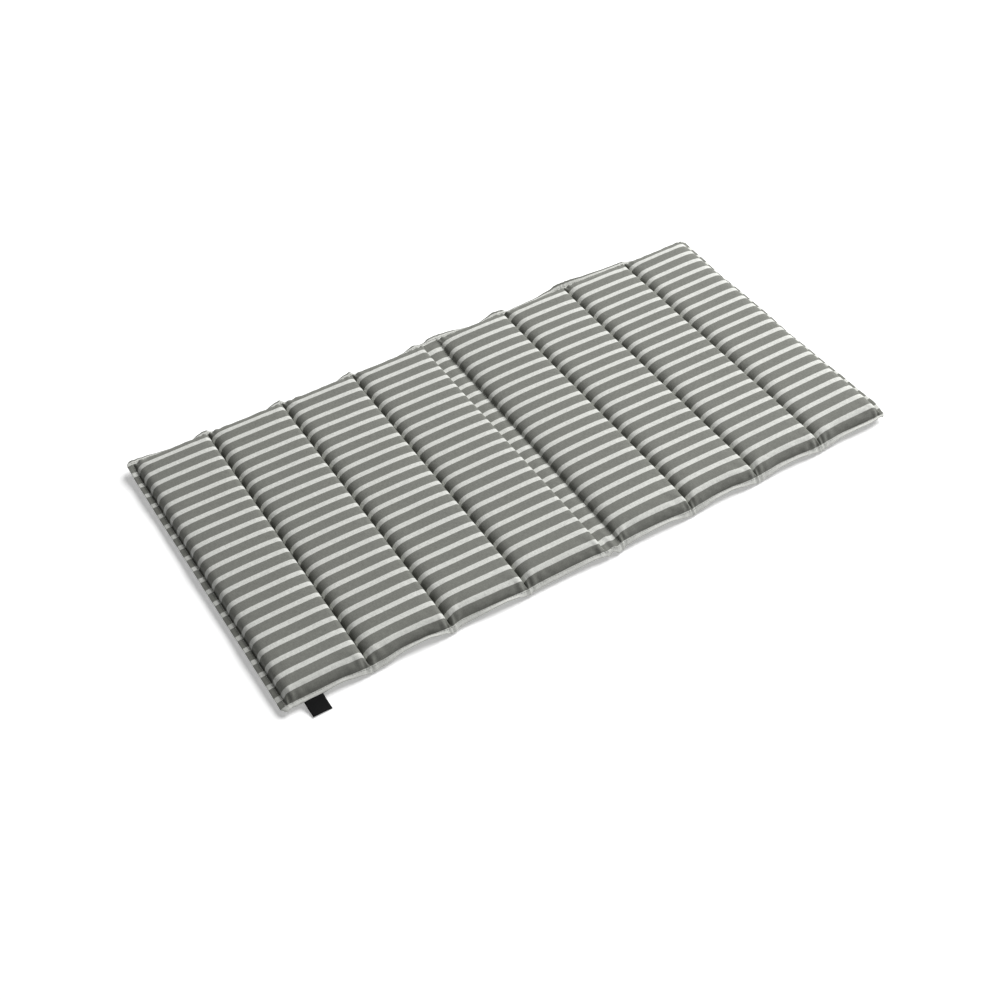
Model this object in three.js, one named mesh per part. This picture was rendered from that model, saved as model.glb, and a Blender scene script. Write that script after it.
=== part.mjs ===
// A folding seat cushion: a thin striped pad, sewn into eight filled channels, four on each side
// of a flat strip along which it folds in half. Millimetres, +Z up, lying on its back at z = 0.
// X runs along the pad, from channel to channel, and Y runs along the channels. The origin is at the
// bottom centre of the whole cushion, the side label included.

import * as THREE from 'three';
import { mergeVertices } from 'three/addons/utils/BufferGeometryUtils.js';

// Driving sizes of the pad
const PAD_DEPTH = 450; // from front edge to back edge, at the ends of the seams
const HEM_WIDTH = 8; // the flat sewn rim, from its stitch line to its edge
const HEM_THICKNESS = 2;
const SEAM_THICKNESS = 1.6; // both cloths, where a seam presses them together
const SEAM_HEIGHT = 10; // middle of the cloths at a seam, above the floor
const STRIP_RISE = 2; // the fold strip lies a little higher between its two seams

// Driving sizes of the filling
const TOP_SHOULDER = 18; // the top cloth is at full height this far from a seam
const BOTTOM_SHOULDER = 14; // the underside lies flat on the floor this far from a seam
const DRAWN_IN = 3.5; // the filling draws the front and back edges in between two seams

// The channels from left to right. A strip holds no filling: it is where the cushion folds.
const SECTIONS = [
  { width: 104, crown: 23.0, filled: true },
  { width: 108, crown: 23.2, filled: true },
  { width: 107, crown: 22.6, filled: true },
  { width: 112, crown: 22.2, filled: true },
  { width: 24, crown: 0, filled: false },
  { width: 110, crown: 23.6, filled: true },
  { width: 105, crown: 23.3, filled: true },
  { width: 107, crown: 22.9, filled: true },
  { width: 107, crown: 24.0, filled: true },
];

// Height of the hem's outer edge where each seam meets it, left stitch line first. The back hem
// curls up behind the channels, and the front hem droops.
const HEM_ENDS = [
  { front: 7, back: 12 },
  { front: 6, back: 14 },
  { front: 6, back: 14 },
  { front: 6, back: 12 },
  { front: 9, back: 11 },
  { front: 4, back: 15 },
  { front: 6, back: 14 },
  { front: 6, back: 17 },
  { front: 6, back: 14 },
  { front: 9, back: 11 },
];
const HEM_MIDDLE = { front: 8, back: 12 };
const LEFT_HEM_HEIGHT = 7;
const RIGHT_HEM_HEIGHT = 9;
const CORNER_RADIUS = 9;

// The woven side label, folded once and sewn into the front hem near its left end
const LABEL_WIDTH = 24;
const LABEL_THICKNESS = 1;
const LABEL_OUT = 18; // how far it sticks out past the hem
const LABEL_UNDER = 5; // how much of it lies under the hem
const LABEL_FROM_LEFT = 38.5; // pad's left edge to the label's middle
const LABEL_TIP_HEIGHT = 1.6; // middle of the label at its free end
const CLEARANCE = 0.3;

// Worked out from the driving sizes
const PAD_LENGTH = 2 * HEM_WIDTH + SECTIONS.reduce((sum, section) => sum + section.width, 0);
const HALF_LENGTH = PAD_LENGTH / 2;
const HALF_DEPTH = PAD_DEPTH / 2;

const seamXs = [-HALF_LENGTH + HEM_WIDTH];
for (const section of SECTIONS) seamXs.push(seamXs.at(-1) + section.width);

const mix = (a, b, t) => a + (b - a) * t;
const smooth = (t) => t * t * (3 - 2 * t);

// Share of full height at a distance from a seam: a quarter of an ellipse, then level
function shoulder(distance, reach) {
  const t = 1 - THREE.MathUtils.clamp(distance / reach, 0, 1);
  return Math.sqrt(1 - t * t);
}

// Where the columns of vertices stand across one section, as distances from its left seam
function columnsAcross(section) {
  if (!section.filled) return [0, section.width / 2];
  const steps = [0, 2, 5, 9, 13, TOP_SHOULDER];
  const far = steps.slice(1).reverse().map((step) => section.width - step);
  return [...steps, section.width / 2, ...far];
}

// One column: its place along the pad, its section, and its distances from the seams beside it
function makeColumns() {
  const columns = [];
  SECTIONS.forEach((section, i) => {
    for (const step of columnsAcross(section)) {
      columns.push({
        x: seamXs[i] + step,
        index: i,
        section,
        share: step / section.width,
        near: Math.min(step, section.width - step),
      });
    }
  });
  const last = SECTIONS.length - 1;
  columns.push({ x: seamXs.at(-1), index: last, section: SECTIONS[last], share: 1, near: 0 });
  return columns;
}

// Height of the hem's outer edge at a column, on one side: 'front' or 'back'
function hemHeight(column, side) {
  const left = HEM_ENDS[column.index][side];
  const right = HEM_ENDS[column.index + 1][side];
  const level = mix(left, right, smooth(column.share));
  if (!column.section.filled) return level;
  return mix(level, HEM_MIDDLE[side], Math.sin(Math.PI * column.share) ** 2);
}

// How far the edge is drawn in at a column
function drawIn(column) {
  return column.section.filled ? DRAWN_IN * Math.sin(Math.PI * column.share) ** 2 : 0;
}

// The rows of vertices along one column, from the front edge to the back edge. Each row gives its
// place along the channel, its distance from the nearer end seam and how far into the hem it is.
const END_STEPS = [0, 2, 5, 9, 13, TOP_SHOULDER];
const MIDDLE_ROWS = 5;
function makeRows(column) {
  const reach = HALF_DEPTH - drawIn(column) - HEM_WIDTH;
  const rows = [];
  rows.push({ y: -reach - HEM_WIDTH, end: 0, hem: 1, side: 'front' });
  for (const step of END_STEPS) rows.push({ y: -reach + step, end: step, hem: 0, side: 'front' });
  const inner = reach - TOP_SHOULDER;
  for (let i = 1; i <= MIDDLE_ROWS; i++) {
    const y = mix(-inner, inner, i / (MIDDLE_ROWS + 1));
    rows.push({ y, end: reach - Math.abs(y), hem: 0, side: y < 0 ? 'front' : 'back' });
  }
  for (const step of [...END_STEPS].reverse()) {
    rows.push({ y: reach - step, end: step, hem: 0, side: 'back' });
  }
  rows.push({ y: reach + HEM_WIDTH, end: 0, hem: 1, side: 'back' });
  return rows;
}

// Top and underside of the pad at one row of one column
function heights(column, row) {
  const middle = mix(SEAM_HEIGHT, hemHeight(column, row.side), row.hem);
  const half = mix(SEAM_THICKNESS, HEM_THICKNESS, row.hem) / 2;
  if (row.hem > 0) return { top: middle + half, bottom: middle - half };
  if (!column.section.filled) {
    const lift = STRIP_RISE * Math.sin(Math.PI * column.share);
    return { top: middle + half + lift, bottom: middle - half + lift };
  }
  const topShare = shoulder(column.near, TOP_SHOULDER) * shoulder(row.end, TOP_SHOULDER);
  const bottomShare = shoulder(column.near, BOTTOM_SHOULDER) * shoulder(row.end, BOTTOM_SHOULDER);
  return {
    top: mix(middle + half, column.section.crown, topShare),
    bottom: mix(middle - half, 0, bottomShare),
  };
}

// The left and right hems are one more column each, outside the first and last stitch lines
function hemColumn(inner, x, height) {
  return inner.map((point, i) => {
    const fromCorner = Math.min(i, inner.length - 1 - i);
    const atCorner = fromCorner === 0;
    const cut = atCorner ? CORNER_RADIUS * (1 - Math.SQRT1_2) : 0;
    const middle = atCorner ? (point.top + point.bottom) / 2 : height;
    return {
      x: x - Math.sign(x) * cut,
      y: point.y - Math.sign(point.y) * cut,
      top: middle + HEM_THICKNESS / 2,
      bottom: middle - HEM_THICKNESS / 2,
    };
  });
}

// The whole pad as a grid of points, each with a top and an underside height
function makeGrid() {
  const grid = makeColumns().map((column) =>
    makeRows(column).map((row) => ({ x: column.x, y: row.y, ...heights(column, row) })),
  );
  const leftHem = hemColumn(grid[0], -HALF_LENGTH, LEFT_HEM_HEIGHT);
  const rightHem = hemColumn(grid.at(-1), HALF_LENGTH, RIGHT_HEM_HEIGHT);
  return [leftHem, ...grid, rightHem];
}

// Closes a grid into one body: the top, the underside, and the hem's edge all round
function closedGrid(grid) {
  const across = grid.length;
  const along = grid[0].length;
  const positions = [];
  for (const side of ['top', 'bottom']) {
    for (const column of grid) for (const p of column) positions.push(p.x, p.y, p[side]);
  }
  const at = (i, j, side) => side * across * along + i * along + j;
  const triangles = [];
  const quad = (a, b, c, d) => triangles.push(a, b, c, a, c, d);
  for (let i = 0; i < across - 1; i++) {
    for (let j = 0; j < along - 1; j++) {
      quad(at(i, j, 0), at(i + 1, j, 0), at(i + 1, j + 1, 0), at(i, j + 1, 0));
      quad(at(i, j, 1), at(i, j + 1, 1), at(i + 1, j + 1, 1), at(i + 1, j, 1));
    }
  }
  for (let i = 0; i < across - 1; i++) {
    quad(at(i, 0, 1), at(i + 1, 0, 1), at(i + 1, 0, 0), at(i, 0, 0));
    quad(at(i + 1, along - 1, 1), at(i, along - 1, 1), at(i, along - 1, 0), at(i + 1, along - 1, 0));
  }
  for (let j = 0; j < along - 1; j++) {
    quad(at(0, j + 1, 1), at(0, j, 1), at(0, j, 0), at(0, j + 1, 0));
    quad(at(across - 1, j, 1), at(across - 1, j + 1, 1), at(across - 1, j + 1, 0), at(across - 1, j, 0));
  }
  const geometry = new THREE.BufferGeometry();
  geometry.setAttribute('position', new THREE.Float32BufferAttribute(positions, 3));
  geometry.setIndex(triangles);
  return mergeVertices(geometry);
}

const pad = makeGrid();

// Front edge and underside of the hem at one place along the pad
function hemAt(x) {
  const right = pad.findIndex((column) => column[0].x > x);
  const [a, b] = [pad[right - 1][0], pad[right][0]];
  const share = (x - a.x) / (b.x - a.x);
  return { edgeY: mix(a.y, b.y, share), bottom: mix(a.bottom, b.bottom, share) };
}

// The label's side view: flat under the hem, then drooping to its free end. Its seat is the lowest
// and foremost place of the hem above it.
const labelX = -HALF_LENGTH + LABEL_FROM_LEFT;
const labelSides = [hemAt(labelX - LABEL_WIDTH / 2), hemAt(labelX + LABEL_WIDTH / 2)];
const labelSeat = {
  edgeY: Math.min(...labelSides.map((side) => side.edgeY)),
  bottom: Math.min(...labelSides.map((side) => side.bottom)),
};
function makeLabel() {
  const half = LABEL_THICKNESS / 2;
  const rootHeight = labelSeat.bottom - CLEARANCE - half;
  const droopHalfway = mix(rootHeight, LABEL_TIP_HEIGHT, 0.65);
  const line = [
    { y: labelSeat.edgeY + LABEL_UNDER, z: rootHeight },
    { y: labelSeat.edgeY, z: rootHeight },
    { y: labelSeat.edgeY - LABEL_OUT / 2, z: droopHalfway },
    { y: labelSeat.edgeY - LABEL_OUT, z: LABEL_TIP_HEIGHT },
  ];
  const outline = [
    ...line.map((p) => new THREE.Vector2(p.y, p.z + half)),
    ...line.toReversed().map((p) => new THREE.Vector2(p.y, p.z - half)),
  ];
  const geometry = new THREE.ExtrudeGeometry(new THREE.Shape(outline), {
    depth: LABEL_WIDTH,
    bevelEnabled: false,
  });
  // The side view is drawn in X and Y and runs along Z: stand it up as Y and Z, running along X
  geometry.rotateX(Math.PI / 2);
  geometry.rotateZ(Math.PI / 2);
  geometry.translate(labelX - LABEL_WIDTH / 2, 0, 0);
  return geometry;
}

// The label makes the cushion's box longer at the front, so everything moves back by half of that
const frontY = labelSeat.edgeY - LABEL_OUT;
const SHIFT_BACK = -(frontY + HALF_DEPTH) / 2;

const striped = new THREE.MeshStandardMaterial({ color: 0x9a9a92, roughness: 0.92, metalness: 0 });
const black = new THREE.MeshStandardMaterial({ color: 0x1c1c1e, roughness: 0.75, metalness: 0 });

const cushion = new THREE.Group();
const body = new THREE.Mesh(closedGrid(pad), striped);
body.name = 'cushion';
const label = new THREE.Mesh(makeLabel(), black);
label.name = 'side_label';
cushion.add(body, label);
cushion.position.y = SHIFT_BACK;

export default cushion;
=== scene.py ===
# %% [markdown]
# # A folding seat cushion, built step by step
# The cushion is a thin striped pad that opens flat to about 0.9 x 0.45 m. Two cloths are laid
# together and sewn into long tubes, four on each side of a flat strip, and each tube holds soft
# filling. The strip has no filling, so the pad folds there like a book.
#
# Ways to model it: sculpt it by hand, let a cloth solver blow up a flat double cloth, or lay out a
# grid whose columns follow the seams and give it its height from tables. The solver alone would
# round every tube alike, and this pad is neither round nor even. So the grid sets the shape that
# was read off the photo, the solver softens it, and what repeats, the
# stitches, comes from a node tree.
#
# Lengths in the tables are millimetres in the pad's own plan: X runs across the tubes, Y along
# them, with zero in the middle of the sewn area, and Z is the height above the floor.

import math

import bmesh
import bpy
import numpy as np
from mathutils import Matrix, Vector


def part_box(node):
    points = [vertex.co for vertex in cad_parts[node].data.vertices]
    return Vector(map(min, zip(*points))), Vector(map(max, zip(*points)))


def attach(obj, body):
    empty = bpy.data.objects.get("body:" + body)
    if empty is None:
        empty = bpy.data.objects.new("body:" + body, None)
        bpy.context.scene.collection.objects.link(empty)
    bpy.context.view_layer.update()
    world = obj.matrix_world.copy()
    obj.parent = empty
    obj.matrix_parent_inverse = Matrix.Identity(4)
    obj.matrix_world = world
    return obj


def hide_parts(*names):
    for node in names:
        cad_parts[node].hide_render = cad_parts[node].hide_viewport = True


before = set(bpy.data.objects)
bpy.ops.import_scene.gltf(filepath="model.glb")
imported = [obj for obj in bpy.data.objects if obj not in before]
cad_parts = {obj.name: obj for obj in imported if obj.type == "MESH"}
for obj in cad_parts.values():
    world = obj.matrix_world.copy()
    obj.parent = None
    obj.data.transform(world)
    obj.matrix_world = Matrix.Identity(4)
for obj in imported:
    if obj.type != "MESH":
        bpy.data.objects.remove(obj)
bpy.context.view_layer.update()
scene = bpy.context.scene
low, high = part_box("cushion")
MM = 0.001
CENTRE = Vector(((low[0] + high[0]) / 2, (low[1] + high[1]) / 2, 0))
print("pad's box in mm:", [round((b - a) * 1000, 1) for a, b in zip(low, high)])
print("pad's centre in mm:", [round(c * 1000, 2) for c in CENTRE])

# %% [markdown]
# ## The plan of the pad
# Every tube is a little different, because it is filled and sewn by hand. `CROWNS` holds the
# height of the top cloth near the left and right side of each tube, and in its middle. The two
# edge tables hold where the sewn rim ends, front and back, and how high it hangs there. It lifts
# between two seams and drops at each of them, as the filling pulls on it.
#
# The other way is one tube copied eight times. It is quicker, but the eye finds the copy at once.

# %% Tables
SEAMS = [-442, -338, -230, -123, -11, 13, 123, 228, 335, 442]
STRIP = 4  # the section without filling
CROWNS = [  # left, middle, right
    (22.6, 23.4, 23.0),
    (23.0, 23.8, 23.2),
    (22.8, 22.9, 21.8),
    (22.0, 22.7, 22.2),
    (0, 0, 0),
    (21.2, 24.2, 23.2),
    (23.2, 23.9, 22.4),
    (22.6, 23.4, 23.2),
    (22.4, 24.0, 24.4),
]
SEAM_HEIGHT = [9.4, 9.2, 9.2, 9.2, 10.6, 11.2, 9.2, 9.2, 9.2, 9.4]
LEFT_REACH = 14.5  # from a seam to where the cloth is level, on the side that faces left
FIRST_REACH = 11  # the same beside the left rim
RIGHT_REACH = 7.5
LAST_REACH = 14  # the right side of the last tube is rounder than the others
FRONT_REACH = 13
BACK_REACH = 9.5
UNDER_REACH = 14
SEAM_HALF = 0.55  # half the thickness of both cloths at a seam
FRONT_DROP = -0.1  # the front rim's stitches lie lower than the seams, the back ones higher
FRONT_DROP_OVER = 30
BACK_RISE = 5.8
BACK_RISE_OVER = 40
STRIP_CROWN = 1.6  # the strip stands this much higher between its two seams
STRIP_EASE = 15  # from the rim, until the strip is at that height
STRIP_RIPPLE = 1.3  # it ripples this much at its front end
RIPPLE_OVER = 16
UNDER_STRIP = 0.8  # share of that height that its underside has
FRONT_ROUND = 0.45  # share of the front slope that is an ellipse, and the rest is a sine
TAPER = 1.2  # the tubes are this much flatter just before their front ends
TAPER_OVER = 45
UNEVEN = [(0.45, 60, 3), (0.18, 22, 5)]  # height of the bumps, their width, seed of the noise
WAVE_REACH = 60  # from the rim, as far as its wave moves the cloth
FRONT_EDGE = [  # along the pad, edge of the rim, its height
    (-442, -223.0, 7.6), (-400, -223.0, 7.0), (-375, -222.5, 9.0), (-352, -224.8, 6.5),
    (-338, -225.6, 3.4), (-322, -224.8, 4.6), (-290, -221.6, 8.4), (-262, -222.4, 11.0),
    (-243, -224.8, 8.0), (-230, -225.8, 3.4), (-212, -222.8, 5.6), (-155, -224.4, 10.0),
    (-140, -225.4, 8.5), (-126, -226.2, 4.6), (-100, -225.0, 6.5), (-60, -225.0, 7.0),
    (-30, -225.6, 9.0), (-14, -227.0, 8.0), (-7, -228.2, 5.6), (-1, -226.2, 9.0),
    (6, -228.6, 4.4), (13, -226.8, 3.2), (22, -225.2, 6.4), (40, -224.4, 8.0),
    (70, -224.4, 9.0), (90, -225.0, 9.5), (108, -226.6, 5.6), (122, -226.8, 3.0),
    (140, -225.0, 5.0), (165, -223.0, 8.4), (190, -223.2, 9.0), (212, -226.0, 6.4),
    (228, -226.4, 3.0), (246, -225.0, 4.8), (270, -223.2, 7.6), (300, -224.0, 8.5),
    (320, -226.0, 6.2), (335, -226.0, 3.2), (352, -224.6, 5.4), (375, -223.2, 8.0),
    (400, -224.2, 9.5), (425, -224.8, 9.0), (442, -224.4, 9.5),
]
BACK_EDGE = [
    (-442, 229.5, 15.5), (-425, 229.5, 14.0), (-400, 229.0, 11.0), (-385, 229.0, 9.0),
    (-372, 229.0, 9.0), (-360, 229.0, 8.5), (-349, 229.4, 14.0), (-339, 229.6, 16.0),
    (-328, 229.2, 9.0), (-290, 229.0, 7.5), (-265, 229.0, 9.0), (-252, 229.0, 8.5),
    (-241, 229.4, 14.0), (-231, 229.6, 16.0), (-220, 229.0, 9.0), (-170, 229.0, 7.5),
    (-146, 229.0, 8.5), (-134, 229.4, 14.0), (-124, 229.6, 16.0), (-114, 229.0, 9.0),
    (-60, 229.0, 7.5), (-40, 229.2, 11.0), (-22, 230.0, 17.0), (-12, 229.8, 14.0),
    (-6, 230.0, 14.0), (3, 231.0, 18.0), (15, 231.0, 18.5), (35, 230.4, 17.0),
    (60, 229.6, 12.5), (80, 229.2, 8.5), (92, 229.6, 13.0), (110, 230.4, 18.5),
    (124, 230.2, 17.5), (134, 229.4, 11.0), (150, 229.8, 12.0), (180, 230.2, 13.0),
    (205, 230.8, 17.0), (220, 232.0, 21.0), (240, 232.2, 20.5), (270, 231.4, 18.0),
    (310, 230.8, 16.0), (335, 230.4, 16.0), (347, 229.6, 12.0), (370, 229.0, 7.5),
    (400, 229.0, 7.5), (430, 229.2, 9.0), (442, 229.0, 10.0),
]
FRONT_RIM = 5.0  # from the stitches to the edge
BACK_RIM = 7.4
SIDE_RIM = 8.5
LEFT_EDGE = [(-219, 8.0), (-120, 9.0), (0, 8.8), (120, 9.2), (190, 10.0), (222, 13.5)]  # y, height
RIGHT_EDGE = [(-219, 10.0), (-195, 11.5), (-150, 9.5), (-90, 8.6), (-20, 7.4), (60, 8.4),
              (130, 7.6), (190, 9.6), (222, 11.0)]
FRONT_STITCHES = -218.8
BACK_STITCHES = 222.3
DEPTH = BACK_STITCHES - FRONT_STITCHES


def table_at(table, x, column):
    """A value of a table at x, eased from one entry to the next so that no corner shows."""
    xs = np.array([row[0] for row in table], float)
    values = np.array([row[column] for row in table], float)
    x = np.clip(x, xs[0], xs[-1])
    i = np.clip(np.searchsorted(xs, x) - 1, 0, len(xs) - 2)
    t = (x - xs[i]) / (xs[i + 1] - xs[i])
    t = t * t * (3 - 2 * t)
    return values[i] + (values[i + 1] - values[i]) * t


def shoulder(distance, reach):
    """Share of the full height at a distance from a seam: a quarter of an ellipse, then level."""
    t = 1 - np.clip(distance / reach, 0, 1)
    return np.sqrt(1 - t * t)


print("tubes:", len(SEAMS) - 2, "width over the seams in mm:", SEAMS[-1] - SEAMS[0])

# %% [markdown]
# ## The grid
# The pad is one closed body: a top cloth, an underside and the sewn rim round them. Both cloths
# are grids of quads. The columns stand close together at the seams, where the cloth turns down
# steeply, and the rows stand close together at the two ends, where the folds are.
#
# `columns` holds the place of each column along X, the section it is in and its distances from
# the seams beside it. A seam's column belongs to the section on its right.

# %% Columns and rows
PER_TUBE = 28
ACROSS_STRIP = 10
MIDDLE_ROWS = 34


def eased(count, strength):
    """Numbers from 0 to 1 that stand closer together at both ends."""
    s = np.linspace(0, 1, count + 1)
    return s - strength * np.sin(2 * np.pi * s) / (2 * np.pi)


def make_columns():
    columns = []
    for i, (left, right) in enumerate(zip(SEAMS, SEAMS[1:])):
        count = ACROSS_STRIP if i == STRIP else PER_TUBE
        shares = eased(count, 0.2 if i == STRIP else 0.68)
        for share in shares[:-1]:
            x = left + (right - left) * share
            columns.append((x, i, x - left, right - x, share))
    columns.append((SEAMS[-1], len(SEAMS) - 2, SEAMS[-1] - SEAMS[-2], 0.0, 1.0))
    return columns


columns = make_columns()
END_ROWS = np.array([0, 1.2, 2.6, 4.4, 6.6, 9.0, 11.6, 14.4, 17.4, 20.6, 24, 28, 32.5, 37.5, 43])
middle_rows = np.linspace(END_ROWS[-1], DEPTH - END_ROWS[-1], MIDDLE_ROWS + 2)[1:-1]
ROWS = np.concatenate([END_ROWS, middle_rows, DEPTH - END_ROWS[::-1]]) / DEPTH  # share of the depth
print("columns:", len(columns), "rows:", len(ROWS))

# %% [markdown]
# ## Height of both cloths
# Each point has a height from the two seams beside it and from the two ends. Where both shares
# are one, the cloth is at the tube's crown. The underside does the same downwards, and lies flat
# on the floor between its shoulders.
#
# A crown of one height would look cast, so soft noise adds a few tenths of a millimetre to it.
# The noise is a sum of sine waves with a fixed seed, so that every run gives the same pad.

# %% Height of the two cloths


def soft_noise(x, y, reach, seed):
    """Smooth unevenness between -1 and 1 with bumps about as wide as reach."""
    waves = np.random.default_rng(seed)
    total = np.zeros_like(x)
    for _ in range(7):
        turn = waves.uniform(0, np.pi)
        long = reach * waves.uniform(1.4, 2.8)
        phase = waves.uniform(0, 2 * np.pi)
        total += np.sin((x * math.cos(turn) + y * math.sin(turn)) * 2 * np.pi / long + phase)
    return total / 4


def crown_at(section, share):
    left, middle, right = CROWNS[section]
    bow = 4 * share * (1 - share)
    return left + (right - left) * share + (middle - (left + right) / 2) * bow


X = np.array([[c[0]] * len(ROWS) for c in columns], float)
section = np.array([c[1] for c in columns])
near_left = np.array([c[2] for c in columns], float)[:, None]
near_right = np.array([c[3] for c in columns], float)[:, None]
share = np.array([c[4] for c in columns], float)
front_line = table_at(FRONT_EDGE, X[:, 0], 1) + FRONT_RIM
back_line = table_at(BACK_EDGE, X[:, 0], 1) - BACK_RIM
Y = front_line[:, None] + (back_line - front_line)[:, None] * ROWS[None, :]
# the middle rows stand straight: only the ends follow the rim's wave
straight = FRONT_STITCHES + DEPTH * ROWS[None, :]
near_front = ROWS[None, :] * DEPTH
near_back = (1 - ROWS)[None, :] * DEPTH
near_end = np.minimum(near_front, near_back)
hold = np.clip(1 - near_end / WAVE_REACH, 0, 1) ** 2
Y = straight + (Y - straight) * hold
filled = (section != STRIP)[:, None]
seam_height = np.interp(X[:, 0], SEAMS, SEAM_HEIGHT)[:, None]
front_pull = np.clip(1 - near_front / FRONT_DROP_OVER, 0, 1) ** 2
back_pull = np.clip(1 - near_back / BACK_RISE_OVER, 0, 1) ** 2
seam_height = seam_height + FRONT_DROP * front_pull + BACK_RISE * back_pull
last = (section == len(SEAMS) - 2)[:, None]
right_reach = np.where(last, LAST_REACH, RIGHT_REACH)
left_reach = np.where(section[:, None] == 0, FIRST_REACH, LEFT_REACH)
side = np.where(near_left < near_right, shoulder(near_left, left_reach),
                shoulder(near_right, right_reach))
sine = np.sin(np.clip(near_front / FRONT_REACH, 0, 1) * np.pi / 2)
front_slope = FRONT_ROUND * shoulder(near_front, FRONT_REACH) + (1 - FRONT_ROUND) * sine
end = front_slope * shoulder(near_back, BACK_REACH)
crown = np.array([crown_at(s, t) for s, t in zip(section, share)])[:, None]
uneven = sum(height * soft_noise(X, Y, width, seed) for height, width, seed in UNEVEN)
taper = TAPER * np.clip(1 - near_front / TAPER_OVER, 0, 1) ** 2
crown = crown - taper
full = side * end
top_seam = seam_height + SEAM_HALF
TOP = np.where(filled, top_seam + (crown + uneven - top_seam) * full, 0)
strip_share = np.where(filled, 0, share[:, None])
strip_lift = STRIP_CROWN * np.sin(np.pi * strip_share) * np.clip(near_end / STRIP_EASE, 0, 1)
ripple = np.sin(4 * np.pi * strip_share + 0.7) * np.exp(-near_front / RIPPLE_OVER)
strip_lift = strip_lift + STRIP_RIPPLE * ripple * np.sin(np.pi * strip_share)
TOP = np.where(filled, TOP, top_seam + strip_lift)
print("top cloth in mm: lowest", round(float(TOP.min()), 1), "highest", round(float(TOP.max()), 1))

# %% [markdown]
# ## Folds down the end walls
# A tube's cloth has to climb over the filling, and the seam beside it doesn't. So at the end of
# each seam there is cloth to spare, and the rim's stitches gather it into small folds that run
# down the end wall. They stand a few millimetres apart beside the seam and wider apart towards
# the tube's middle, where they are shallow. Each fold could be drawn with a sculpting brush, but
# a wave whose length grows with the distance from the seam gives all of them by one rule.

# %% Folds down the end walls
PLEATS = 1.8  # mm, depth of the folds beside a seam
PLEAT_SPREAD = 20  # mm from a seam at which the folds are twice as far apart as beside it
WALL = 8  # mm, how far the folds reach up the end wall
PLEAT_OUT = 0.8  # shares of a fold that stand out from the wall and upwards
PLEAT_UP = 0.6


def pleats(seed):
    """Folds down an end wall: close together beside a seam, wide apart in a tube's middle."""
    waves = np.random.default_rng(seed)
    total = 0.45 * soft_noise(X, Y, 7, seed + 1)
    for distance in (near_left[:, 0], near_right[:, 0]):
        phase = waves.uniform(0, 2 * np.pi, len(SEAMS))[section]
        pace = waves.uniform(2.7, 3.5, len(SEAMS))[section]
        strength = waves.uniform(0.75, 1.25, len(SEAMS))[section]
        reach = waves.uniform(15, 26, len(SEAMS))[section]
        wave = np.sin(2 * np.pi * pace * np.log1p(distance / PLEAT_SPREAD) + phase)
        total += (strength * wave * np.exp(-((distance / reach) ** 2)))[:, None]
    return total


def down_the_wall(distance):
    """Strength of the folds from the rim's stitches up to the crown."""
    return np.exp(-((distance / WALL) ** 2)) * np.clip(0.35 + distance / 4, 0, 1)


front_pleats = PLEATS * pleats(11) * down_the_wall(near_front) * filled
back_pleats = PLEATS * pleats(12) * down_the_wall(near_back) * filled
Y = Y - PLEAT_OUT * front_pleats + PLEAT_OUT * back_pleats
TOP = TOP + PLEAT_UP * front_pleats + PLEAT_UP * back_pleats
under_side = shoulder(np.minimum(near_left, near_right), UNDER_REACH)
under = under_side * shoulder(near_end, UNDER_REACH)
bottom_seam = seam_height - SEAM_HALF
BOTTOM = np.where(filled, bottom_seam * (1 - under), bottom_seam + strip_lift * UNDER_STRIP)
print("deepest fold at the front in mm:", round(float(np.abs(front_pleats).max()), 2))

# %% [markdown]
# ## The cloth's own lengths
# Stripes are woven in, so they follow the cloth and not the floor: down the slope at each end
# they come closer together as seen from above. So every point gets its place on the cloth,
# measured along it. Beside a seam the stitches gather the cloth slightly, which bends each
# stripe. Projecting the stripes from above is simpler, but they would smear down the walls.

# %% Lengths along and across the cloth
GATHER = 0.010  # share by which the stitches shorten the cloth along a seam
GATHER_ENDS = 16  # mm before the rim where that stops
USUAL_CROWN = 23.2  # height that the length over a tube's end is measured for
CLOTH_FRONT = -224.9  # cloth from the middle of the pad to the stitches of the rim
CLOTH_BACK = 227.2
CORRECTED_FROM = 200  # mm from the middle, where the fit to those two lengths begins
middle = len(ROWS) // 2


def length_from_middle(y, z):
    step = np.hypot(np.diff(y), np.diff(z))
    run = np.concatenate([[0], np.cumsum(step)])
    return run - np.interp(0, y, run)


crown_profile = seam_height[0] + (USUAL_CROWN - taper[0] - seam_height[0]) * end[0]
crown_length = length_from_middle(straight[0], crown_profile)
# at the rim's stitches the length is the one that puts the right stripe beside the rim
ends_at = np.where(straight[0] < 0, -FRONT_STITCHES, BACK_STITCHES)
nearby = np.clip((np.abs(straight[0]) - CORRECTED_FROM) / (ends_at - CORRECTED_FROM), 0, 1)
target = np.where(straight[0] < 0, CLOTH_FRONT, CLOTH_BACK)
reached = np.where(straight[0] < 0, crown_length[0], crown_length[-1])
crown_length = crown_length + (target - reached) * nearby
seam_length = straight[0] * (1 + GATHER * (np.abs(straight[0]) / BACK_STITCHES) ** 2)
catch_up = np.clip(1 - near_end[0] / GATHER_ENDS, 0, 1) ** 2
seam_length = seam_length + (crown_length - seam_length) * catch_up
ALONG = seam_length[None, :] + (crown_length - seam_length)[None, :] * side * filled
across = np.concatenate([[0], np.cumsum(np.hypot(np.diff(X[:, middle]), np.diff(TOP[:, middle])))])
ACROSS = (across - across[-1] / 2)[:, None] * np.ones_like(X)
print("cloth from stitch to stitch in mm:", round(float(crown_length[-1] - crown_length[0]), 1),
      "across:", round(float(across[-1]), 1))

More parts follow.
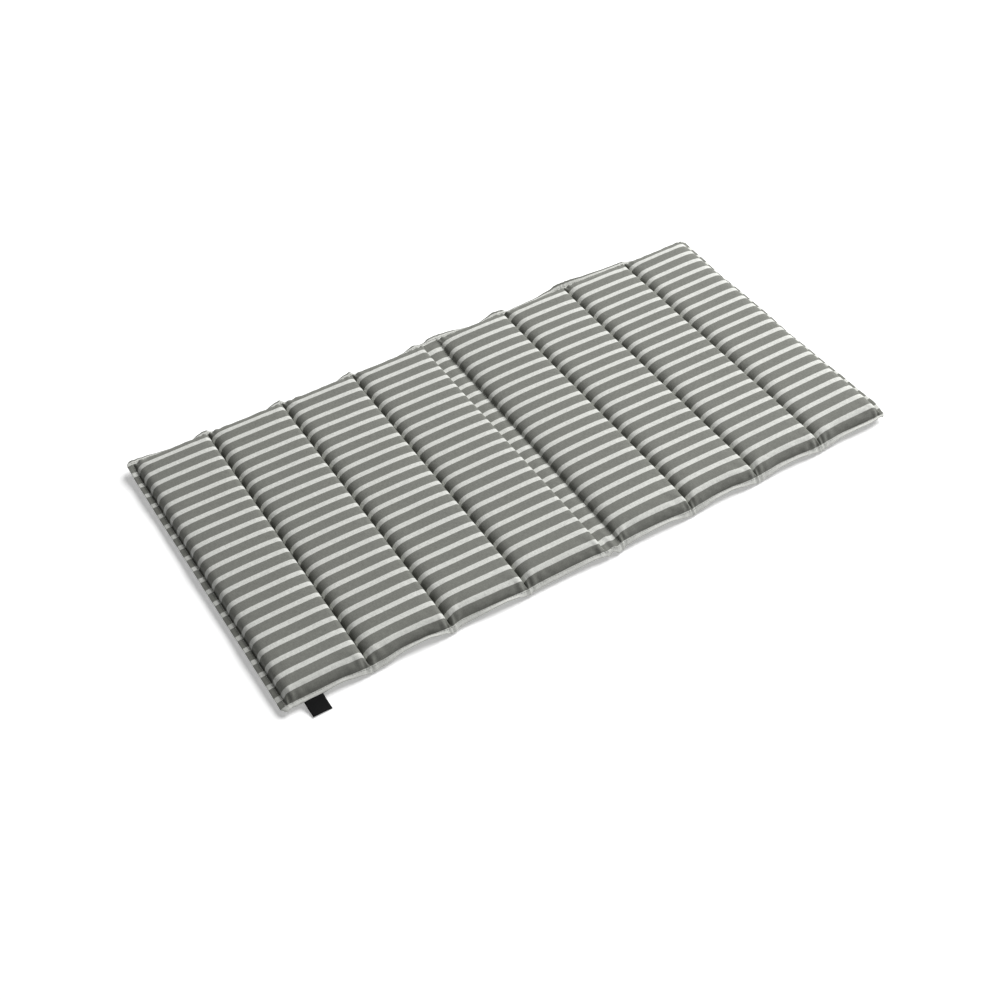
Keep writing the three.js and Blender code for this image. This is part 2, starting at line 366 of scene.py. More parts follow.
# %% [markdown]
# ## The sewn rim
# Outside the tubes the two cloths are turned in and sewn flat, as a soft band. Seen from its
# edge it is two thin rolls with a crease between them, and that crease catches a dark line. The
# band is swept round the stitched outline as a row of points from the stitches to the crease, for
# the top cloth and mirrored for the lower one. At a corner the sweep fans out, so the corner is
# round.
#
# A bevel on a plain slab would be simpler, but then the edge would look like foam.

# %% Points of the rim and the closed body
RIM = [  # share of the rim's width, half of its thickness in mm
    (0.10, 0.66), (0.24, 1.0), (0.45, 1.2), (0.68, 1.25), (0.86, 1.18), (0.96, 0.9),
    (1.0, 0.6), (1.0, 0.28), (0.985, 0.05),
]
FAN = 5  # extra steps round a corner
CORNER_CUT = 0.38  # share of the rim that is missing at the rounded corner
CORNER_REACH = 13
FRONT_LEFT, FRONT_RIGHT, BACK_RIGHT = 7.0, 8.0, 11.0  # heights of the rim at its corners
BACK_LEFT = (15.5, 13.0)  # at the start and the end of this corner
BACK_LEFT_WIDER = 1.05
RIGHT_WAVES = [(0.4, 31, 0), (0.4, 12.3, 0)]  # mm high, mm long for one radian, start
LEFT_WAVES = [(0.6, 27, 1), (0.4, 11, 0)]
EDGE_TURN = 0.6  # cloth that the roll of the edge takes up, as a share of its half thickness
SEAM_CREASE = 0.9


def rounded(distance):
    """Share of the rim's width that is left towards the front corner on the right."""
    return 1 - CORNER_CUT * math.exp(-((distance / CORNER_REACH) ** 2))


def waves_at(waves, y):
    """The rim's own small waves along one side."""
    return sum(high * math.sin(y / long + start) for high, long, start in waves)


def round_corner(i, j, degrees, widths, heights):
    """Steps of the rim round a corner, from one side's width and height to the next side's."""
    steps = []
    for k in range(1, FAN):
        t = k / FAN
        width = widths[0] + (widths[1] - widths[0]) * t
        height = heights[0] + (heights[1] - heights[0]) * t
        steps.append((i, j, degrees + 90 * t, width, height))
    return steps


def make_pad():
    count_x, count_y = X.shape
    points, cloth, roles = [], [], []

    def add(x, y, z, u, v, role):
        points.append((x, y, z))
        cloth.append((u, v))
        roles.append(role)
        return len(points) - 1

    top = np.empty(X.shape, int)
    bottom = np.empty(X.shape, int)
    for i in range(count_x):
        for j in range(count_y):
            u, v = ACROSS[i, j], ALONG[i, j]
            edge = i in (0, count_x - 1) or j in (0, count_y - 1)
            seam = near_left[i, 0] == 0 or near_right[i, 0] == 0 or not filled[i, 0]
            top[i, j] = add(X[i, j], Y[i, j], TOP[i, j], u, v, "held" if edge or seam else "top")
    for i in range(count_x):
        for j in range(count_y):
            u, v = ACROSS[i, j], ALONG[i, j]
            bottom[i, j] = add(X[i, j], Y[i, j], BOTTOM[i, j], u, v, "held")

    # the outline runs anticlockwise: front, right, back, left
    loop = []
    for i in range(count_x):
        x = X[i, 0]
        height = table_at(FRONT_EDGE, x, 2)
        loop.append((i, 0, 270.0, FRONT_RIM * rounded(SEAMS[-1] - x), height))
    corner = (FRONT_RIM + SIDE_RIM) / 2
    cut = corner * rounded(0)
    loop += round_corner(count_x - 1, 0, 270, (cut, cut), (FRONT_RIGHT, RIGHT_EDGE[0][1]))
    for j in range(count_y):
        lift = table_at(RIGHT_EDGE, Y[-1, j], 1)
        width = SIDE_RIM * rounded(Y[-1, j] - Y[-1, 0])
        loop.append((count_x - 1, j, 0.0, width, lift + waves_at(RIGHT_WAVES, Y[-1, j])))
    loop += round_corner(count_x - 1, count_y - 1, 0, (SIDE_RIM, BACK_RIM), (BACK_RIGHT, BACK_RIGHT))
    for i in reversed(range(count_x)):
        height = table_at(BACK_EDGE, X[i, 0], 2)
        loop.append((i, count_y - 1, 90.0, BACK_RIM, height))
    wider = (BACK_RIM * BACK_LEFT_WIDER, SIDE_RIM * BACK_LEFT_WIDER)
    loop += round_corner(0, count_y - 1, 90, wider, BACK_LEFT)
    for j in reversed(range(count_y)):
        lift = table_at(LEFT_EDGE, Y[0, j], 1)
        loop.append((0, j, 180.0, SIDE_RIM, lift + waves_at(LEFT_WAVES, Y[0, j])))
    loop += round_corner(0, 0, 180, (corner, corner), (FRONT_LEFT, FRONT_LEFT))

    rings = {+1: [], -1: []}
    for i, j, degrees, width, height in loop:
        turn = math.radians(degrees)
        dx, dy = math.cos(turn), math.sin(turn)
        start = np.array([X[i, j], Y[i, j], (TOP[i, j] + BOTTOM[i, j]) / 2])
        for sign in (1, -1):
            ring = []
            for reach, half in RIM:
                out = reach * width
                # the rim leaves the stitches between a straight and an eased line
                bend = (reach * reach * (3 - 2 * reach) + reach) / 2
                z = start[2] + (height - start[2]) * bend + sign * half
                turned = EDGE_TURN * half if reach > 0.9 else 0
                u = ACROSS[i, j] + dx * out
                v = ALONG[i, j] + dy * (out + turned)
                ring.append(add(start[0] + dx * out, start[1] + dy * out, z, u, v, "held"))
            rings[sign].append(ring)

    faces = []
    for i in range(count_x - 1):
        for j in range(count_y - 1):
            faces.append((top[i, j], top[i + 1, j], top[i + 1, j + 1], top[i, j + 1]))
            faces.append((bottom[i, j], bottom[i, j + 1], bottom[i + 1, j + 1], bottom[i + 1, j]))
    total = len(loop)
    for k in range(total):
        a, b = k, (k + 1) % total
        inner_a, inner_b = loop[a][:2], loop[b][:2]
        for sign, grid in ((1, top), (-1, bottom)):
            ra, rb = rings[sign][a], rings[sign][b]
            va, vb = grid[inner_a], grid[inner_b]
            first = [va, ra[0], rb[0]] if inner_a == inner_b else [va, ra[0], rb[0], vb]
            faces.append(tuple(first if sign > 0 else first[::-1]))
            for m in range(len(RIM) - 1):
                quad = (ra[m], ra[m + 1], rb[m + 1], rb[m])
                faces.append(quad if sign > 0 else quad[::-1])
        faces.append((rings[1][a][-1], rings[-1][a][-1], rings[-1][b][-1], rings[1][b][-1]))
    points, cloth, roles = np.array(points, float), np.array(cloth, float), np.array(roles)
    return points, cloth, roles, faces, top, bottom, rings


points, cloth, roles, faces, top_index, bottom_index, rim_index = make_pad()
print("rim: steps round the outline", len(rim_index[1]), "points in each", len(RIM))

# %% The cushion's mesh
points[:, 2] = np.maximum(points[:, 2], 0)
mesh = bpy.data.meshes.new("cushion_cloth")
places = points * MM + np.array(CENTRE)
mesh.from_pydata([tuple(p) for p in places], [], faces)
mesh.update()
cushion = bpy.data.objects.new("striped_cushion", mesh)
scene.collection.objects.link(cushion)
layer = mesh.uv_layers.new(name="cloth")
corner_points = np.empty(len(mesh.loops), int)
mesh.loops.foreach_get("vertex_index", corner_points)
layer.data.foreach_set("uv", (cloth[corner_points] * MM).ravel())
# sewn lines stay sharp when the surface is smoothed
sewn = set()
for i, column in enumerate(columns):
    if column[0] in SEAMS:
        for grid in (top_index, bottom_index):
            sewn.update(map(frozenset, zip(grid[i], grid[i][1:])))
for grid in (top_index, bottom_index):
    for line in (grid[:, 0], grid[:, -1]):
        sewn.update(map(frozenset, zip(line, line[1:])))
sharp = mesh.attributes.new("crease_edge", "FLOAT", "EDGE")
sharp.data.foreach_set("value", [SEAM_CREASE * (frozenset(e.vertices) in sewn) for e in mesh.edges])
check = bmesh.new()
check.from_mesh(mesh)
print("points:", len(check.verts), "faces:", len(check.faces),
      "open edges:", sum(len(e.link_faces) != 2 for e in check.edges),
      "volume in litres:", round(check.calc_volume(signed=True) * 1000, 2))
check.free()

# %% [markdown]
# ## Letting the cloth settle
# Now the solver takes over for a moment. Everything that is sewn or lies on the floor is held, and
# the top cloth between the seams is blown up a little from below, as the filling does. At the two
# ends the cloth is told to be a little longer than it is, so that it stays loose there. The
# result is kept within a few millimetres of the grid's shape and fades out at the seams.
#
# A longer run with a free underside would be closer to the real thing, but nothing would hold it
# to the heights in the tables.

# %% Cloth solver
PRESSURE = 4.0
FRAMES = 20
FARTHEST = 2.6  # mm, as far as the solver may move the cloth
EXTRA_CLOTH = -0.02  # a negative shrink: the cloth grows by this share
LOOSE_END = 18  # mm from an end where the cloth is looser
MIDDLE_SHARE = 0.3  # share of the movement that is kept in the pad's middle
END_SHARE = 0.5  # and what is added near the ends
WALL_FROM, WALL_WIDTH = 3, 15  # mm from a seam, where the movement fades in


def settle(obj):
    start = np.empty(len(obj.data.vertices) * 3)
    obj.data.vertices.foreach_get("co", start)
    held = obj.vertex_groups.new(name="held")
    held.add([int(i) for i in np.flatnonzero(roles == "held")], 1.0, "REPLACE")
    extra = obj.vertex_groups.new(name="extra")
    near = np.clip(1 - near_end[0] / LOOSE_END, 0, 1)
    for j in range(len(ROWS)):
        if near[j] > 0:
            extra.add([int(v) for v in top_index[:, j]], float(near[j]), "REPLACE")
    modifier = obj.modifiers.new("settle", "CLOTH")
    settings = modifier.settings
    settings.quality = 6
    settings.mass = 0.25
    settings.tension_stiffness = 18
    settings.compression_stiffness = 18
    settings.shear_stiffness = 6
    settings.bending_stiffness = 0.35
    settings.use_pressure = True
    settings.uniform_pressure_force = PRESSURE
    settings.effector_weights.gravity = 0
    settings.vertex_group_mass = "held"
    settings.pin_stiffness = 1
    settings.vertex_group_shrink = "extra"
    settings.shrink_min = 0.0
    settings.shrink_max = EXTRA_CLOTH
    modifier.collision_settings.use_collision = False
    modifier.collision_settings.use_self_collision = False
    modifier.point_cache.frame_start = 1
    modifier.point_cache.frame_end = FRAMES
    for number in range(1, FRAMES + 1):
        scene.frame_set(number)
    shaped = obj.evaluated_get(bpy.context.evaluated_depsgraph_get())
    moved = np.empty(len(start))
    shaped.data.vertices.foreach_get("co", moved)
    obj.modifiers.remove(modifier)
    obj.vertex_groups.clear()
    scene.frame_set(1)
    shift = (moved - start).reshape(-1, 3)
    length = np.linalg.norm(shift, axis=1)
    limit = FARTHEST * MM
    soft = limit * np.tanh(length / limit) / np.maximum(length, 1e-9)
    shift *= soft[:, None]
    ends = END_SHARE * np.clip(1.6 - near_end[0] / LOOSE_END, 0, 1)
    for i in range(len(columns)):
        nearest = min(near_left[i, 0], near_right[i, 0])
        inside = np.clip((nearest - WALL_FROM) / WALL_WIDTH, 0, 1)
        kept = inside * (MIDDLE_SHARE + ends) + 0.5 * (1 - inside) * ends
        shift[top_index[i]] *= kept[:, None]
    obj.data.vertices.foreach_set("co", (start.reshape(-1, 3) + shift).ravel())
    obj.data.update()
    free = length[roles == "top"] * 1000
    print("the solver moved the top by", round(float(free.mean()), 2), "mm on average and",
          round(float(free.max()), 2), "at most, before the limit")


settle(cushion)
settled = [tuple(v.co) for v in cushion.data.vertices]

# %% [markdown]
# One round of subdivision turns the grid's flats into curves. It is applied, so that the mesh
# that is kept is the one that is seen.

# %% Smoother surface
smoother = cushion.modifiers.new("smoother", "SUBSURF")
smoother.levels = 1
smoother.render_levels = 1
smoother.uv_smooth = "PRESERVE_BOUNDARIES"
finished = bpy.data.meshes.new_from_object(
    cushion.evaluated_get(bpy.context.evaluated_depsgraph_get())
)
cushion.modifiers.clear()
cushion.data = finished
finished.name = "cushion_cloth"
finished.shade_smooth()
print("triangles of the pad:", sum(len(p.vertices) - 2 for p in finished.polygons))

# %% [markdown]
# ## Materials
# Colours are written as they look in a picture and turned into light values by one function.
# Everything else on the cloth is made of its real sizes in metres: stripes 20.75 mm apart, yarns
# about 0.6 mm wide.

# %% Helpers for materials
def light(code):
    """A picture colour such as 8F908A as the values that light is counted in."""
    parts = [int(code[i:i + 2], 16) / 255 for i in (0, 2, 4)]
    return [p / 12.92 if p <= 0.04045 else ((p + 0.055) / 1.055) ** 2.4 for p in parts] + [1.0]


def new_material(name):
    material = bpy.data.materials.new(name)
    material.use_nodes = True
    nodes = material.node_tree.nodes
    return material, nodes["Principled BSDF"]


def add(tree, kind, inputs=None, **settings):
    """Adds a node. inputs are its sockets by name or number: a value, or a socket to link."""
    node = tree.nodes.new(kind)
    for key, value in settings.items():
        setattr(node, key, value)
    for key, value in (inputs or {}).items():
        if isinstance(value, bpy.types.NodeSocket):
            tree.links.new(value, node.inputs[key])
        else:
            node.inputs[key].default_value = value
    return node


def sums(tree, operation, a, b=0.5, c=0.5, clamp=False):
    """One sum of two or three numbers, and its result's socket."""
    return add(tree, "ShaderNodeMath", {0: a, 1: b, 2: c}, operation=operation,
               use_clamp=clamp).outputs[0]


print("mid grey as light:", round(light("808080")[0], 3))

# %% [markdown]
# ### Striped canvas
# A plain woven outdoor canvas: matt, with a faint sheen from its loose fibres. The stripes are
# woven in with yarns of two colours, so a stripe's edge is as ragged as one yarn, and single
# yarns are a little lighter or darker than the next. The weave itself is a bump: two sets of
# yarns, each over and under the other. The same weave is painted into the colour as shade,
# darker in the gaps between the yarns and lighter on their tops.

# %% Striped canvas
STRIPE_PITCH = 0.02075
WHITE_HALF = 0.0035
YARN = 0.00062


def striped_canvas():
    material, shader = new_material("striped_canvas")
    tree = material.node_tree
    place = add(tree, "ShaderNodeUVMap", uv_map="cloth").outputs["UV"]
    parts = add(tree, "ShaderNodeSeparateXYZ", {0: place})
    u, v = parts.outputs["X"], parts.outputs["Y"]

    # single yarns: long thin noise along each direction
    stretched = add(tree, "ShaderNodeCombineXYZ",
                    {"X": sums(tree, "MULTIPLY", u, 170.0), "Y": sums(tree, "MULTIPLY", v, 900.0)})
    weft = add(tree, "ShaderNodeTexNoise",
               {"Vector": stretched.outputs[0], "Scale": 1.0, "Detail": 2.0}).outputs["Fac"]
    stretched = add(tree, "ShaderNodeCombineXYZ",
                    {"X": sums(tree, "MULTIPLY", u, 900.0), "Y": sums(tree, "MULTIPLY", v, 170.0)})
    warp = add(tree, "ShaderNodeTexNoise",
               {"Vector": stretched.outputs[0], "Scale": 1.0, "Detail": 2.0}).outputs["Fac"]

    # the stripes, with an edge that wanders by less than a yarn
    ragged = add(tree, "ShaderNodeTexNoise", {"Vector": place, "Scale": 900.0, "Detail": 1.0})
    wander = sums(tree, "MULTIPLY_ADD", ragged.outputs["Fac"], 0.0009, -0.00045)
    moved = sums(tree, "ADD", v, wander)
    turns = sums(tree, "DIVIDE", moved, STRIPE_PITCH)
    off = sums(tree, "SUBTRACT", turns, sums(tree, "ROUND", turns))
    distance = sums(tree, "MULTIPLY", sums(tree, "ABSOLUTE", off), STRIPE_PITCH)
    soft = 0.00022
    white = sums(tree, "MULTIPLY_ADD", sums(tree, "SUBTRACT", WHITE_HALF, distance),
                 1 / (2 * soft), 0.5, clamp=True)

    # yarns over and under: the bump, and painted shade between the yarns
    wave_u = sums(tree, "SINE", sums(tree, "MULTIPLY", u, math.pi / YARN))
    wave_v = sums(tree, "SINE", sums(tree, "MULTIPLY", v, math.pi / YARN))
    crossing = sums(tree, "ABSOLUTE", sums(tree, "MULTIPLY", wave_u, wave_v))
    weave = sums(tree, "POWER", crossing, 0.5)

    yarns = sums(tree, "ADD", weft, warp)
    shade = sums(tree, "MULTIPLY_ADD", yarns, 0.5, 0.5)
    wide = add(tree, "ShaderNodeTexNoise", {"Vector": place, "Scale": 14.0, "Detail": 3.0})
    shade = sums(tree, "MULTIPLY", shade,
                 sums(tree, "MULTIPLY_ADD", wide.outputs["Fac"], 0.10, 0.95))
    # painted shade: the weave darkens the colour in the gaps between the yarns and lightens it on
    # their tops
    shade = sums(tree, "MULTIPLY", shade, sums(tree, "MULTIPLY_ADD", weave, 0.16, 0.88))
    stripes = add(tree, "ShaderNodeMix", {0: white, 6: light("72736D"), 7: light("C9CAC5")},
                  data_type="RGBA")
    colour = add(tree, "ShaderNodeVectorMath", {0: stripes.outputs[2], 3: shade},
                 operation="SCALE")
    tree.links.new(colour.outputs[0], shader.inputs["Base Color"])
    height = sums(tree, "MULTIPLY_ADD", yarns, 0.35, weave)
    bump = add(tree, "ShaderNodeBump", {"Height": height, "Strength": 0.35, "Distance": 0.0002})
    tree.links.new(bump.outputs[0], shader.inputs["Normal"])
    shader.inputs["Roughness"].default_value = 0.9
    shader.inputs["Specular IOR Level"].default_value = 0.25
    shader.inputs["Sheen Weight"].default_value = 0.12
    shader.inputs["Sheen Roughness"].default_value = 0.6
    return material


canvas = striped_canvas()
cushion.data.materials.append(canvas)
print("stripes over the depth:", round((CLOTH_BACK - CLOTH_FRONT) * MM / STRIPE_PITCH, 1))

# %% [markdown]
# ### Label tape and sewing thread
# The label is a narrow woven tape, nearly black, with fine ribs across it. The thread is a
# smoother yarn between the two colours of the cloth, so it shines a little more than they do.

# %% Label tape and sewing thread
RIB = 0.0007
FINE_RIB = 0.0005


def label_tape():
    material, shader = new_material("woven_label_tape")
    tree = material.node_tree
    place = add(tree, "ShaderNodeTexCoord").outputs["Object"]
    parts = add(tree, "ShaderNodeSeparateXYZ", {0: place})
    rib = sums(tree, "SINE", sums(tree, "MULTIPLY", parts.outputs["Y"], 2 * math.pi / RIB))
    fine = sums(tree, "SINE", sums(tree, "MULTIPLY", parts.outputs["X"], 2 * math.pi / FINE_RIB))
    noise = add(tree, "ShaderNodeTexNoise", {"Vector": place, "Scale": 700.0, "Detail": 2.0})
    shade = sums(tree, "MULTIPLY_ADD", noise.outputs["Fac"], 0.5, 0.75)
    colour = add(tree, "ShaderNodeVectorMath", {0: light("0B0B0C")[:3], 3: shade},
                 operation="SCALE")
    tree.links.new(colour.outputs[0], shader.inputs["Base Color"])
    height = sums(tree, "ADD", rib, sums(tree, "MULTIPLY", fine, 0.5))
    bump = add(tree, "ShaderNodeBump", {"Height": height, "Strength": 0.3, "Distance": 0.0001})
    tree.links.new(bump.outputs[0], shader.inputs["Normal"])
    shader.inputs["Roughness"].default_value = 0.8
    shader.inputs["Specular IOR Level"].default_value = 0.15
    return material


def sewing_thread():
    material, shader = new_material("sewing_thread")
    tree = material.node_tree
    place = add(tree, "ShaderNodeTexCoord").outputs["Object"]
    noise = add(tree, "ShaderNodeTexNoise", {"Vector": place, "Scale": 420.0, "Detail": 2.0})
    shade = sums(tree, "MULTIPLY_ADD", noise.outputs["Fac"], 0.6, 0.7)
    colour = add(tree, "ShaderNodeVectorMath", {0: light("A9AAA4")[:3], 3: shade},
                 operation="SCALE")
    tree.links.new(colour.outputs[0], shader.inputs["Base Color"])
    shader.inputs["Roughness"].default_value = 0.65
    return material


tape = label_tape()
thread = sewing_thread()
print("materials:", [m.name for m in (canvas, tape, thread)])

# %% [markdown]
# ## The side label
# A tape folded once, with both ends caught in the front rim near its left end. It leaves the rim
# between the two cloths and droops to the floor. Its two layers lie almost on each other.

# %% Side label
LABEL_X = (-423.5, -399.5)
LABEL_HALF = 0.32  # half of the gap between the middles of the two layers
LABEL_THICK = 0.4
LABEL_LINE = [  # y, z of the middle, from inside the rim to the free end
    (-218.6, 8.9), (-220.3, 8.1), (-222.1, 7.3), (-223.6, 6.9), (-226.0, 5.9), (-230.0, 4.2),
    (-235.0, 2.7), (-242.2, 1.5),
]
LEAVES_RIM = -222  # y, from here on the tape hangs free
HANGS_OVER = 20


def make_label():
    fine = 24
    line = np.array(LABEL_LINE, float)
    run = np.concatenate([[0], np.cumsum(np.hypot(*np.diff(line, axis=0).T))])
    steps = np.linspace(0, run[-1], fine)
    y = np.interp(steps, run, line[:, 0])
    z = np.interp(steps, run, line[:, 1])
    normal = np.stack([-np.gradient(z), np.gradient(y)], 1)
    normal /= -np.linalg.norm(normal, axis=1)[:, None]
    middle_line = np.stack([y, z], 1)
    upper = middle_line + normal * LABEL_HALF
    lower = middle_line - normal * LABEL_HALF
    forward = middle_line[-1] - middle_line[-2]
    forward /= np.linalg.norm(forward)
    bend = [middle_line[-1] + LABEL_HALF * (forward * math.cos(a) + normal[-1] * math.sin(a))
            for a in (1.1, 0.55, 0.0, -0.55, -1.1)]
    path = np.concatenate([upper, bend, lower[::-1]])
    slope = np.gradient(path, axis=0)
    slope /= np.linalg.norm(slope, axis=1)[:, None]
    aside = np.stack([slope[:, 1], -slope[:, 0]], 1) * LABEL_THICK / 2
    outer = np.concatenate([path + aside, (path - aside)[::-1]])
    widths = np.linspace(LABEL_X[0], LABEL_X[1], 15)
    verts = []
    for x in widths:
        t = (x - widths[0]) / (widths[-1] - widths[0])
        for py, pz in outer:
            out = np.clip((LEAVES_RIM - py) / HANGS_OVER, 0, 1)
            sag = (0.5 * math.sin(t * 3.0) - 0.9 * t) * out
            verts.append((x + 1.2 * out, py, max(pz + sag, 0.12)))
    across, round_count = len(widths), len(outer)
    faces = []
    for a in range(across - 1):
        for b in range(round_count):
            c = (b + 1) % round_count
            faces.append((a * round_count + b, a * round_count + c,
                          (a + 1) * round_count + c, (a + 1) * round_count + b))
    faces.append(tuple(range(round_count))[::-1])
    faces.append(tuple((across - 1) * round_count + b for b in range(round_count)))
    data = bpy.data.meshes.new("side_label_tape")
    data.from_pydata([tuple(np.array(p) * MM + np.array(CENTRE)) for p in verts], [], faces)
    data.update()
    tidy = bmesh.new()
    tidy.from_mesh(data)
    bmesh.ops.recalc_face_normals(tidy, faces=tidy.faces)
    tidy.to_mesh(data)
    print("label: open edges", sum(len(e.link_faces) != 2 for e in tidy.edges),
          "volume in mm3", round(tidy.calc_volume(signed=True) * 1e9, 1))
    tidy.free()
    obj = bpy.data.objects.new("side_label_tape", data)
    scene.collection.objects.link(obj)
    data.materials.append(tape)
    data.shade_smooth()
    return obj


label = make_label()

# %% [markdown]
# ## Stitches
# One thread repeats thousands of times, so a node tree sets the stitches: it walks along each
# sewn line, drops a short thread every few millimetres and turns it along the line, each a little
# longer, shorter or askew. Modelled one by one they would be as good, but nobody could change the
# stitch length afterwards. The lines lie on the cloth's own sewn points, top and underside apart.

# %% Stitches
STITCH_PITCH = 0.0036
THREAD = 0.00036


def thread_shape():
    """One stitch along X, 24 faces."""
    sides = 6
    rings = ((-0.42, 0.6, -0.5), (0.0, 1.0, 0.15), (0.42, 0.6, -0.5))  # x, radius, height
    verts = [(x * STITCH_PITCH, THREAD * r * math.cos(2 * math.pi * k / sides),
              THREAD * (h + r * math.sin(2 * math.pi * k / sides)))
             for x, r, h in rings for k in range(sides)]
    verts += [(-0.5 * STITCH_PITCH, 0, -1.3 * THREAD), (0.5 * STITCH_PITCH, 0, -1.3 * THREAD)]
    polys = []
    for ring in (0, 1):
        for k in range(sides):
            n = (k + 1) % sides
            polys.append((ring * sides + k, ring * sides + n,
                          (ring + 1) * sides + n, (ring + 1) * sides + k))
    last_ring, poles = 2 * sides, 3 * sides
    for k in range(sides):
        n = (k + 1) % sides
        polys.append((k, poles, n))
        polys.append((last_ring + k, last_ring + n, poles + 1))
    data = bpy.data.meshes.new("thread_shape")
    data.from_pydata(verts, [], polys)
    tidy = bmesh.new()
    tidy.from_mesh(data)
    bmesh.ops.recalc_face_normals(tidy, faces=tidy.faces)
    tidy.to_mesh(data)
    tidy.free()
    return bpy.data.objects.new("thread_shape", data)


def stitch_tree():
    tree = bpy.data.node_groups.new("stitches", "GeometryNodeTree")
    face = tree.interface
    face.new_socket("Geometry", in_out="INPUT", socket_type="NodeSocketGeometry")
    sockets = {
        name: face.new_socket(name, in_out="INPUT", socket_type=kind).identifier
        for name, kind in (("Pitch", "NodeSocketFloat"), ("Seed", "NodeSocketInt"),
                           ("Thread", "NodeSocketObject"), ("Upside down", "NodeSocketBool"),
                           ("Material", "NodeSocketMaterial"))
    }
    face.new_socket("Geometry", in_out="OUTPUT", socket_type="NodeSocketGeometry")
    given = add(tree, "NodeGroupInput").outputs
    line = add(tree, "GeometryNodeMeshToCurve", {"Mesh": given["Geometry"]})
    dots = add(tree, "GeometryNodeResampleCurve",
               {"Curve": line.outputs[0], "Length": given["Pitch"]}, mode="LENGTH")
    along = add(tree, "GeometryNodeInputTangent")
    turned = add(tree, "FunctionNodeAlignRotationToVector", {"Vector": along.outputs[0]}, axis="X")
    flip = add(tree, "ShaderNodeMath", {0: given["Upside down"], 1: math.pi},
               operation="MULTIPLY")
    askew = add(tree, "FunctionNodeRandomValue",
                {"Min": (0, -0.05, -0.09), "Max": (0, 0.05, 0.09), "Seed": given["Seed"]},
                data_type="FLOAT_VECTOR")
    over = add(tree, "ShaderNodeCombineXYZ", {"X": flip.outputs[0]})
    both = add(tree, "ShaderNodeVectorMath", {0: over.outputs[0], 1: askew.outputs[0]},
               operation="ADD")
    rolled = add(tree, "FunctionNodeRotateRotation",
                 {"Rotation": turned.outputs[0], "Rotate By": both.outputs[0]},
                 rotation_space="LOCAL")
    size = add(tree, "FunctionNodeRandomValue",
               {"Min": (0.74, 0.9, 0.9), "Max": (0.88, 1.1, 1.1), "Seed": given["Seed"]},
               data_type="FLOAT_VECTOR")
    shape = add(tree, "GeometryNodeObjectInfo", {"Object": given["Thread"]})
    placed = add(tree, "GeometryNodeInstanceOnPoints",
                 {"Points": dots.outputs[0], "Instance": shape.outputs["Geometry"],
                  "Rotation": rolled.outputs[0], "Scale": size.outputs[0]})
    real = add(tree, "GeometryNodeRealizeInstances", {0: placed.outputs[0]})
    dyed = add(tree, "GeometryNodeSetMaterial",
               {"Geometry": real.outputs[0], "Material": given["Material"]})
    end_node = add(tree, "NodeGroupOutput", {"Geometry": dyed.outputs[0]})
    print("stitch tree:", len(tree.nodes), "nodes, ends in", end_node.name)
    return tree, sockets


def sewn_lines(sign):
    """The seams between the tubes and the rim's stitch line, as runs of points on the cloth."""
    grid = top_index if sign > 0 else bottom_index
    runs = []
    for i, column in enumerate(columns):
        if column[0] in SEAMS[1:-1]:
            runs.append((grid[i], 0.0003, False))
    runs.append(([ring[1] for ring in rim_index[sign]], 0.0002, True))
    return runs


def make_stitches(name, sign, tree, sockets, shape, seed):
    verts, edges = [], []
    for run, lift, closed in sewn_lines(sign):
        first = len(verts)
        for index in run:
            x, y, z = settled[index]
            verts.append((x, y, z + sign * lift))
        edges += [(first + k, first + k + 1) for k in range(len(run) - 1)]
        if closed:
            edges.append((len(verts) - 1, first))
    data = bpy.data.meshes.new(name)
    data.from_pydata(verts, edges, [])
    obj = bpy.data.objects.new(name, data)
    scene.collection.objects.link(obj)
    modifier = obj.modifiers.new("stitches", "NODES")
    modifier.node_group = tree
    for key, value in (("Pitch", STITCH_PITCH), ("Seed", seed), ("Thread", shape),
                       ("Upside down", sign < 0), ("Material", thread)):
        modifier[sockets[key]] = value
    plain = bpy.data.meshes.new_from_object(
        obj.evaluated_get(bpy.context.evaluated_depsgraph_get()))
    obj.modifiers.clear()
    obj.data = plain
    plain.name = name
    plain.shade_smooth()
    print(name, "triangles:", sum(len(p.vertices) - 2 for p in plain.polygons),
          "materials:", [m.name for m in plain.materials if m])
    return obj


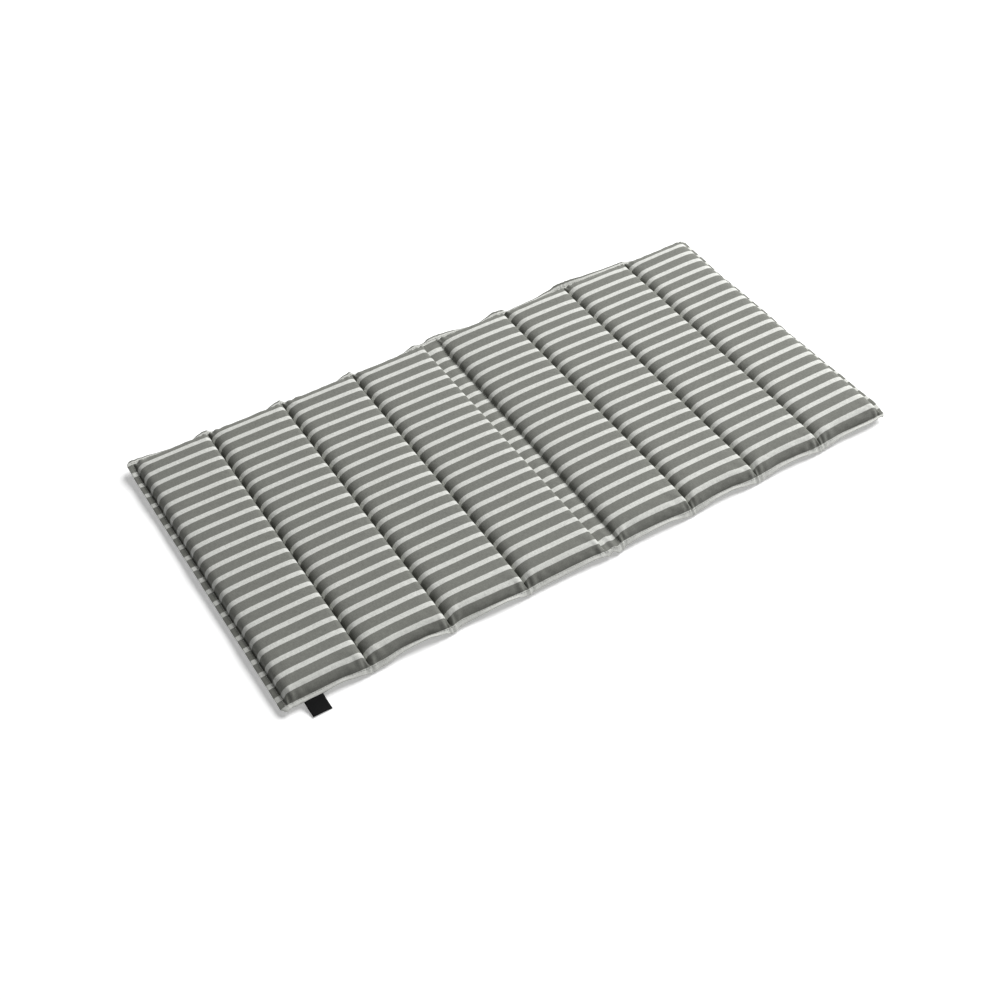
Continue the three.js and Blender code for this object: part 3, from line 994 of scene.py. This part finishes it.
stitches_tree, stitch_sockets = stitch_tree()
one_stitch = thread_shape()
top_stitches = make_stitches("top_stitches", 1, stitches_tree, stitch_sockets, one_stitch, 4)
under_stitches = make_stitches("under_stitches", -1, stitches_tree, stitch_sockets, one_stitch, 9)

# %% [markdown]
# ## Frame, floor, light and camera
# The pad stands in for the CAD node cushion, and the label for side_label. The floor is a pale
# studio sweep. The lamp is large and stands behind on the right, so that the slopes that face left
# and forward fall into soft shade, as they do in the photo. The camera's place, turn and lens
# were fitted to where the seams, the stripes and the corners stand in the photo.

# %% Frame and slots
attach(cushion, "root")
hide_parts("cushion")
for stitches in (top_stitches, under_stitches):
    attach(stitches, "root")
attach(label, "root")
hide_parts("side_label")
print("pieces:", [p.name for p in (cushion, label, top_stitches, under_stitches)])

# %% Floor, light and camera
floor_mesh = bpy.data.meshes.new("studio_floor")
REACH = 30.0
floor_mesh.from_pydata([(-REACH, -REACH, 0), (REACH, -REACH, 0), (REACH, REACH, 0),
                        (-REACH, REACH, 0)], [], [(0, 1, 2, 3)])
floor = bpy.data.objects.new("studio_floor", floor_mesh)
scene.collection.objects.link(floor)
floor_paint, floor_shader = new_material("studio_paper")
floor_shader.inputs["Base Color"].default_value = light("EAEAEA")
floor_shader.inputs["Roughness"].default_value = 0.95
floor_shader.inputs["Specular IOR Level"].default_value = 0.0
floor_shader.inputs["Emission Color"].default_value = (1, 1, 1, 1)
floor_shader.inputs["Emission Strength"].default_value = 0.32
floor_mesh.materials.append(floor_paint)

world = bpy.data.worlds.new("studio")
world.use_nodes = True
world.node_tree.nodes["Background"].inputs["Color"].default_value = (1, 1, 1, 1)
world.node_tree.nodes["Background"].inputs["Strength"].default_value = 0.13
scene.world = world


def lamp(name, place, target, size, watts):
    data = bpy.data.lights.new(name, "AREA")
    data.shape = "DISK"
    data.size = size
    data.energy = watts
    obj = bpy.data.objects.new(name, data)
    scene.collection.objects.link(obj)
    obj.location = place
    toward = Vector(target) - Vector(place)
    obj.rotation_euler = toward.to_track_quat("-Z", "Y").to_euler()


lamp("key", (2.85, 0.85, 3.35), (0, 0, 0), 3.8, 345)
scene.view_settings.view_transform = "Standard"

camera_data = bpy.data.cameras.new("camera")
camera_data.lens = 51.77
camera_data.sensor_width = 36
camera_data.clip_start = 0.05
camera = bpy.data.objects.new("camera", camera_data)
scene.collection.objects.link(camera)
camera.location = (-0.7383, -1.1239, 1.3384)
camera.rotation_euler = (math.radians(43.151), 0, math.radians(-32.289))
scene.camera = camera
print("camera at", [round(c, 3) for c in camera.location])
